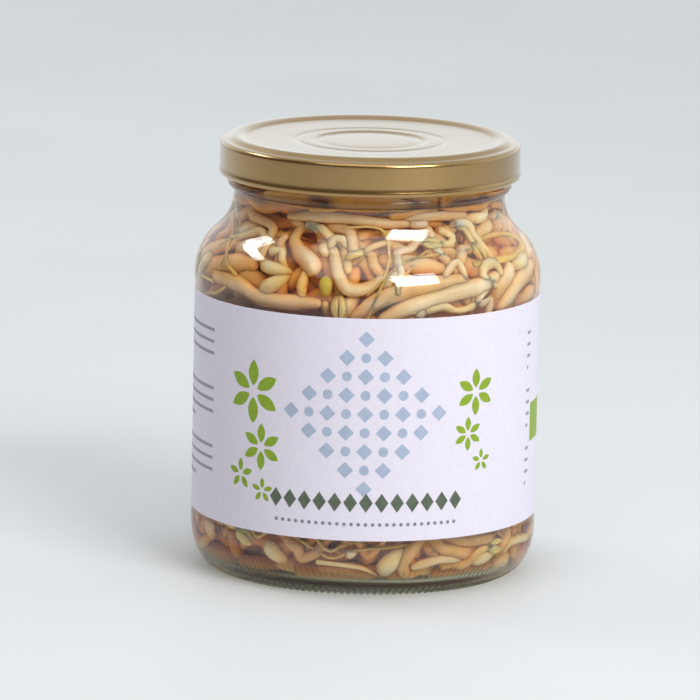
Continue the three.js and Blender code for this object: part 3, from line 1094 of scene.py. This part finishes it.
def close_pairs(place, radius, owner):
    """Pairs of points that touch or may soon, not next to each other on one strand."""
    margin = 1.2
    found = []
    square = (place**2).sum(1)
    for start in range(0, len(place), 600):
        block = slice(start, start + 600)
        far = square[block, None] + square[None] - 2 * place[block] @ place.T
        reach = radius[block, None] + radius[None] + margin
        i, j = np.nonzero(far < reach**2)
        i += start
        keep = (i < j) & ((owner[i] != owner[j]) | (j - i > 4))
        found.append((i[keep], j[keep]))
    return tuple(np.concatenate(side) for side in zip(*found))


def kept_in(place, radius, loose, low, high):
    """Keeps loose points inside the glass and between two heights, and draws them out of
    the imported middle."""
    r = np.hypot(place[:, 0], place[:, 1]) + 1e-6
    floor = np.maximum(low - FLOOR_RISE * np.minimum(1, r / heel_mid) ** 2, FLOOR_Z + GAP)
    lowest = floor if low < heel_z else low
    z = np.clip(place[:, 2], lowest + radius, high - radius)
    most = inset_radius(z, GAP + radius)
    least = inner_radius_at(z) - LAYER_DEEP
    wanted = np.minimum(r, most)
    wanted = np.where(r < least, r + 0.15 * (least - r), wanted)
    moved = np.column_stack([place[:, :2] * (wanted / r)[:, None], z])
    place += (moved - place) * loose


def tube(line, radii, tints, sides):
    """A round skin along a line, with its thickness and colour for each point of it."""
    ahead = np.gradient(line, axis=0)
    ahead /= np.linalg.norm(ahead, axis=1, keepdims=True) + 1e-9
    angle = circle(sides)
    caps = np.radians([80, 55, 28])
    tips = [line[0] - ahead[0] * radii[0] * math.sin(a) for a in caps]
    tails = [line[-1] + ahead[-1] * radii[-1] * math.sin(a) for a in caps[::-1]]
    line = np.vstack([tips, line, tails])
    thick = np.concatenate([radii[0] * np.cos(caps), radii, radii[-1] * np.cos(caps[::-1])])
    ahead = np.vstack([ahead[[0, 0, 0]], ahead, ahead[[-1, -1, -1]]])
    tints = np.vstack([tints[[0, 0, 0]], tints, tints[[-1, -1, -1]]])
    side = np.array([0.0, 0.0, 1.0]) if abs(ahead[0][2]) < 0.9 else np.array([1.0, 0.0, 0.0])
    rows = np.empty((len(line), sides, 3))
    for i, way in enumerate(ahead):
        side = side - way * (side @ way)
        side /= np.linalg.norm(side) + 1e-9
        across = np.cross(way, side)
        uneven = 1 + 0.06 * np.cos(2 * angle + 0.07 * i + thick.sum())
        uneven = uneven + 0.035 * np.cos(3 * angle - 0.11 * i)
        ring = np.outer(np.cos(angle) * uneven, side) + np.outer(np.sin(angle) * uneven, across)
        rows[i] = line[i] + thick[i] * ring
    points, faces = skin_over(rows)
    colours = np.vstack([np.repeat(tints, sides, 0), tints[:1], tints[-1:]])
    return points, [face[::-1] for face in faces], colours


def seed_leaf(middle, along, facing, length, width, thick, tint):
    """One of a bean's two halves: domed on the side it faces, nearly flat on the other."""
    along = along / np.linalg.norm(along)
    facing = facing - along * (facing @ along)
    facing /= np.linalg.norm(facing) + 1e-9
    across = np.cross(along, facing)
    rows = []
    tints = []
    turn = circle(12)
    for u in np.linspace(-0.99, 0.99, 12):
        swell = (1 - u * u) ** 0.45 * (1 - 0.22 * u)
        centre = middle + along * (0.5 * length * u) - facing * (0.1 * length * u * u)
        up = np.where(np.sin(turn) > 0, thick, 0.3 * thick) * np.sin(turn) * swell
        out = 0.5 * width * np.cos(turn) * swell
        rows.append(centre + np.outer(out, across) + np.outer(up, facing))
        edge = 1 - 0.25 * np.cos(turn) ** 6 - 0.2 * abs(u) ** 5
        tints.append(tint * edge[:, None])
    points, faces = skin_over(rows)
    tints += [tint[None] * 0.7] * 2
    return points, faces, np.vstack(tints)


def mesh_strand(made, strand, draw):
    """Adds a strand's skin, and its seed leaves if it has them."""
    line = through(strand.points, 2)
    count = len(line)
    t = np.linspace(0, 1, count)
    radii = strand.radii(count)
    wave = draw(0, 6.3)
    radii = radii * (1 + 0.05 * np.sin(9 * t + wave) + 0.03 * np.sin(23 * t + 2 * wave))
    tints = np.repeat(strand.tint[None], count, 0)
    if strand.form is SPROUT:
        root = np.clip(1 - t / 0.25, 0, 1)[:, None] * 0.7
        tints = tints * (1 - root) + AMBER * root
        hook = np.clip((t - 0.8) / 0.2, 0, 1)[:, None] * 0.5
        tints = tints * (1 - hook) + YELLOW * hook
    sides = 6 if strand.radius < 0.7 else 10
    made.add(*tube(line, radii, tints, sides))
    if strand.head is not None:
        add_head(made, strand, draw)


def outward_at(point):
    """The way from the jar's axis out to a point."""
    outward = np.array([point[0], point[1], 0.0])
    return outward / np.linalg.norm(outward)


def add_head(made, strand, draw):
    """The bean's two halves at a sprout's end, a little open."""
    end = strand.points[-1]
    ahead = strand.points[-1] - strand.points[-2]
    ahead /= np.linalg.norm(ahead)
    outward = outward_at(end)
    facing = np.cross(ahead, outward) + outward * draw(-0.8, 0.8)
    facing /= np.linalg.norm(facing) + 1e-9
    size = draw(0.85, 1.1)
    for side in (-1, 1):
        lean = ahead + facing * side * draw(0.05, 0.3)
        middle = end + ahead * 2.2 * size + facing * side * 0.45
        length, width, thick = 6.0 * size, 3.4 * size, 1.3 * size
        tint = strand.head * draw(0.92, 1.05)
        made.add(*seed_leaf(middle, lean, facing * side, length, width, thick, tint))


# The layers of the tangle, with the CAD model's own seeds, counts and heights. The rest
# is the scene's alone: thinner sprouts between, strewn bean halves and fine roots.
LAYERS = (
    {
        # painted shade: this layer's cast darkens its sprouts, and its ring round the floor is darker
        # still
        "name": "sprouts_lower", "seed": 1, "count": 16, "low": 6.25, "high": 22.0,
        "between": 62, "strewn": 12, "roots": 5, "cast": PAINTED_SHADE_LOW, "dip": FLOOR_RISE,
        "seen": SEEN_BELOW, "beans": BEANS_BELOW, "round": (9, 5.4, 6.6, AMBER * PAINTED_SHADE_FLOOR),
    },
    {
        "name": "sprouts_middle", "seed": 210, "count": 20, "low": 22.35, "high": 57.0,
        "between": 50, "strewn": 4, "roots": 5, "cast": 1.0, "dip": 0.0,
        "seen": {}, "beans": (), "round": (0, 0.0, 0.0, AMBER),
    },
    {
        "name": "sprouts_upper", "seed": 111, "count": 32, "low": 57.7, "high": 90.05,
        "between": 104, "strewn": 12, "roots": 16, "cast": 1.0, "dip": 0.0,
        # painted shade: the ring of sprouts under the lid is tinted a deeper orange amber
        "seen": SEEN_ABOVE, "beans": BEANS_ABOVE, "round": (12, 85.4, 88.2, AMBER * PAINTED_SHADE_NECK),
    },
)


def winding_path(draw, share, number, low, high):
    """The CAD model's rule for where one sprout lies."""
    steps = 8
    stride = (42 + 20 * draw()) / steps
    way = -1 if draw() < 0.5 else 1
    hook = -0.55 if share > 0.5 else 0.55
    bend = 0.16 * (draw() - 0.5)
    depth = 2.4 * draw()
    margin = 3.1
    turn = GOLDEN_ANGLE * number
    z = low + margin + (high - low - 2 * margin) * share
    heading = 0.7 * (draw() - 0.5)
    points = []
    for i in range(steps + 1):
        sunk = max(0, 5 - depth) * max(0, 1 - i / 3)
        r = inset_radius(z, GAP + 2.8 + depth + sunk)
        points.append(at(r, turn, z))
        heading += bend if i < steps - 2 else hook
        climb = stride * math.sin(heading)
        if not low + margin <= z + climb <= high - margin:
            heading *= -0.4
        turn += way * stride * math.cos(heading) / r
        z += stride * math.sin(heading)
    return points


def loose_path(draw, low, high):
    """A freer path for the sprouts between: any slope, gently curled, near the glass."""
    stride = 4
    margin = 2.5
    steps = int(draw(24, 52) / stride)
    turn = draw(0, 2 * math.pi)
    z = draw(low + margin, high - margin)
    depth = draw(0.0, 6.5)
    heading = draw(-1.1, 1.1) + (math.pi if draw() < 0.5 else 0)
    bend = draw(-0.3, 0.3)
    sway = draw(0, 6.3)
    sink = draw(-0.35, 0.35)
    points = []
    for i in range(steps + 1):
        r = inset_radius(z, GAP + 1.7 + min(max(depth, 0), 8))
        points.append(at(r, turn, z))
        heading += bend + 0.28 * math.sin(1.3 * i + sway)
        if not low + margin <= z + stride * math.sin(heading) <= high - margin:
            heading = -heading * 0.6
        turn += stride * math.cos(heading) / r
        z += stride * math.sin(heading)
        z = min(max(z, low + 2.2), high - 2.2)
        depth += sink
    return points


def strands_seen(table):
    """Held strands that show where the photograph shows them."""
    strands = []
    for thick, sunk, form, tint, pixels, *head in table.values():
        line = seen_at(pixels, GAP + thick / 2 + sunk)
        strands.append(Strand(line, thick / 2, form, tint, True, head[0] if head else None))
    return strands


def strands_round(count, low, high, tint):
    """Sprouts that lie level round the jar against the glass, at heights low to high."""
    draw = Draws(count)
    strands = []
    for i in range(count):
        turn = 2 * math.pi * (i + draw(0, 0.5)) / count
        z = draw(low, high)
        thick = draw(2.6, 3.4)
        line = []
        for step in range(13):
            r = inset_radius(z, GAP + thick / 2 + 0.25 * step)
            line.append(at(r, turn, z))
            turn += 4.0 / r
            z = min(max(z + draw(-0.5, 0.5), low), high)
        strands.append(Strand(line, thick / 2, STEM, tint))
    return strands


def bean_seen(centre, end, width, tint):
    """A loose bean half, from the pixels of its centre and of one end."""
    middle, tip = seen_at([centre, end], GAP + BEAN_THICK)
    return {"middle": middle, "along": tip - middle, "width": width, "tint": tint}


def bean_guard(bean):
    """A short held strand that keeps other sprouts off a loose bean half."""
    step = bean["along"] * 0.6
    line = [bean["middle"] - step, bean["middle"], bean["middle"] + step]
    return Strand(line, BEAN_THICK, STEM, CREAM, True)


def add_bean(made, bean, draw, flat_out=False):
    middle, along = bean["middle"], bean["along"]
    facing = outward_at(middle) * (-1 if flat_out else 1)
    length = 2 * np.linalg.norm(along)
    tint = bean["tint"] * draw(0.95, 1.03)
    made.add(*seed_leaf(middle, along, facing, length, bean["width"], BEAN_THICK, tint))


def loose_beans(draw, low, high, count):
    """Bean halves strewn near the glass by rule."""
    beans = []
    for i in range(count):
        turn = GOLDEN_ANGLE * i * 3 + draw(0, 0.5)
        z = draw(low + 3, high - 3)
        depth = GAP + BEAN_THICK + draw(0, 2.5)
        tilt = draw(0, math.pi)
        r = inset_radius(z, depth)
        middle = np.array(at(r, turn, z))
        round_ = np.array([-math.sin(turn), math.cos(turn), 0.0])
        along = (round_ * math.cos(tilt) + np.array([0, 0, 1.0]) * math.sin(tilt)) * draw(2.9, 3.9)
        tint = CREAM if draw() < 0.7 else YELLOW
        beans.append({"middle": middle, "along": along, "width": draw(2.8, 3.6), "tint": tint})
    return beans


def make_sprouts(material):
    for layer in LAYERS:
        make_layer(layer, material)


def make_layer(layer, material):
    """One layer of the tangle: the sprouts seen in the photograph, the CAD model's own,
    thinner ones between, loose bean halves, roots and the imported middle."""
    palette = (IVORY, IVORY, PINKISH, PINKISH, CREAM)
    # cast is painted shade where it is below 1: it darkens the lower layer's tints
    low, high, cast = layer["low"], layer["high"], layer["cast"]
    draw = Draws(layer["seed"])
    strands = strands_seen(layer["seen"]) + strands_round(*layer["round"])
    beans = [bean_seen(*bean) for bean in layer["beans"]]
    seen_beans = len(beans)
    for i in range(layer["count"]):
        path = winding_path(draw, (i + 0.5) / layer["count"], i, low, high)
        head = YELLOW if i % 3 else CREAM
        tint = palette[i % len(palette)] * 0.97
        strands.append(Strand(path, CAD_RADIUS, SPROUT, tint * cast, False, head))
    spare = []
    for _ in range(layer["between"]):
        path = loose_path(draw, low - layer["dip"], high)
        thick = draw(2.4, 3.8)
        form = SPROUT if draw() < 0.6 else STEM
        head = YELLOW if form is SPROUT and draw() < 0.45 else None
        tint = palette[int(draw() * len(palette))] * cast * draw(0.86, 1.02)
        spare.append(Strand(path, thick / 2, form, tint, False, head))
    strands += spare
    strewn = loose_beans(draw, low, high, layer["strewn"])
    beans += [bean for bean in strewn if bean["middle"][1] > FRONT]
    guards = [bean_guard(bean) for bean in beans]
    relax(strands + guards, low, high)
    made = Gathered()
    for strand in without_crowded(strands, guards, spare):
        mesh_strand(made, strand, draw)
    for i, bean in enumerate(beans):
        add_bean(made, bean, draw, i >= seen_beans and i % 2 == 0)
    add_roots(made, draw, low, high, layer["roots"])
    add_core(made, low, high)
    made.points = [pressed_in(np.vstack(made.points))]
    made.piece(layer["name"] + "_tangle", material, "jar", "sprout_flesh", [layer["name"]])


def pressed_in(points):
    """The points, with those that reach into the glass pressed back into the brine."""
    clearance = 0.15
    r = np.hypot(points[:, 0], points[:, 1]) + 1e-9
    dome = 1.1 * FLOOR_RISE * np.maximum(0, 1 - (r / heel_mid) ** 2)
    points[:, 2] = np.maximum(points[:, 2], FLOOR_Z + clearance + dome)
    most = inner_radius_at(points[:, 2]) - clearance
    points[:, :2] *= np.minimum(1, most / r)[:, None]
    return points


def add_roots(made, draw, low, high, count):
    """Fine roots that wander over the other sprouts."""
    for _ in range(count):
        path = loose_path(draw, low, high)
        radius = draw(0.25, 0.42)
        line = np.array(path)
        r = inset_radius(line[:, 2], GAP + radius + draw(0.0, 0.8))
        line[:, :2] *= (r / np.hypot(line[:, 0], line[:, 1]))[:, None]
        tint = YELLOW * draw(0.75, 1.0)
        mesh_strand(made, Strand(line, radius, ROOT, tint), draw)


def add_core(made, low, high):
    """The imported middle, deep amber, that shows only through the gaps."""
    end = 0.4
    levels = np.linspace(low + end, high - end, 16)
    side = [(inner_radius_at(z) - CORE_DEEP, z) for z in levels]
    profile = [(0.0, low + end), *side, (0.0, high - end)]
    points, faces = turned(profile, 64)
    angle = np.arctan2(points[:, 1], points[:, 0])
    wave = np.sin(9 * angle + points[:, 2]) * np.sin(0.7 * points[:, 2] + 5 * angle)
    points[:, :2] *= (1 + 0.03 * wave)[:, None]
    made.add(points, faces, CREAM * 0.95)


plain_colours()
make_camera()
make_light()
make_floor()
make_jar(jar_glass())
make_brine(brine_liquid())
make_lid(gold_lacquer())
make_sealing_ring(seal_compound())
make_label()
make_sprouts(sprout_flesh())
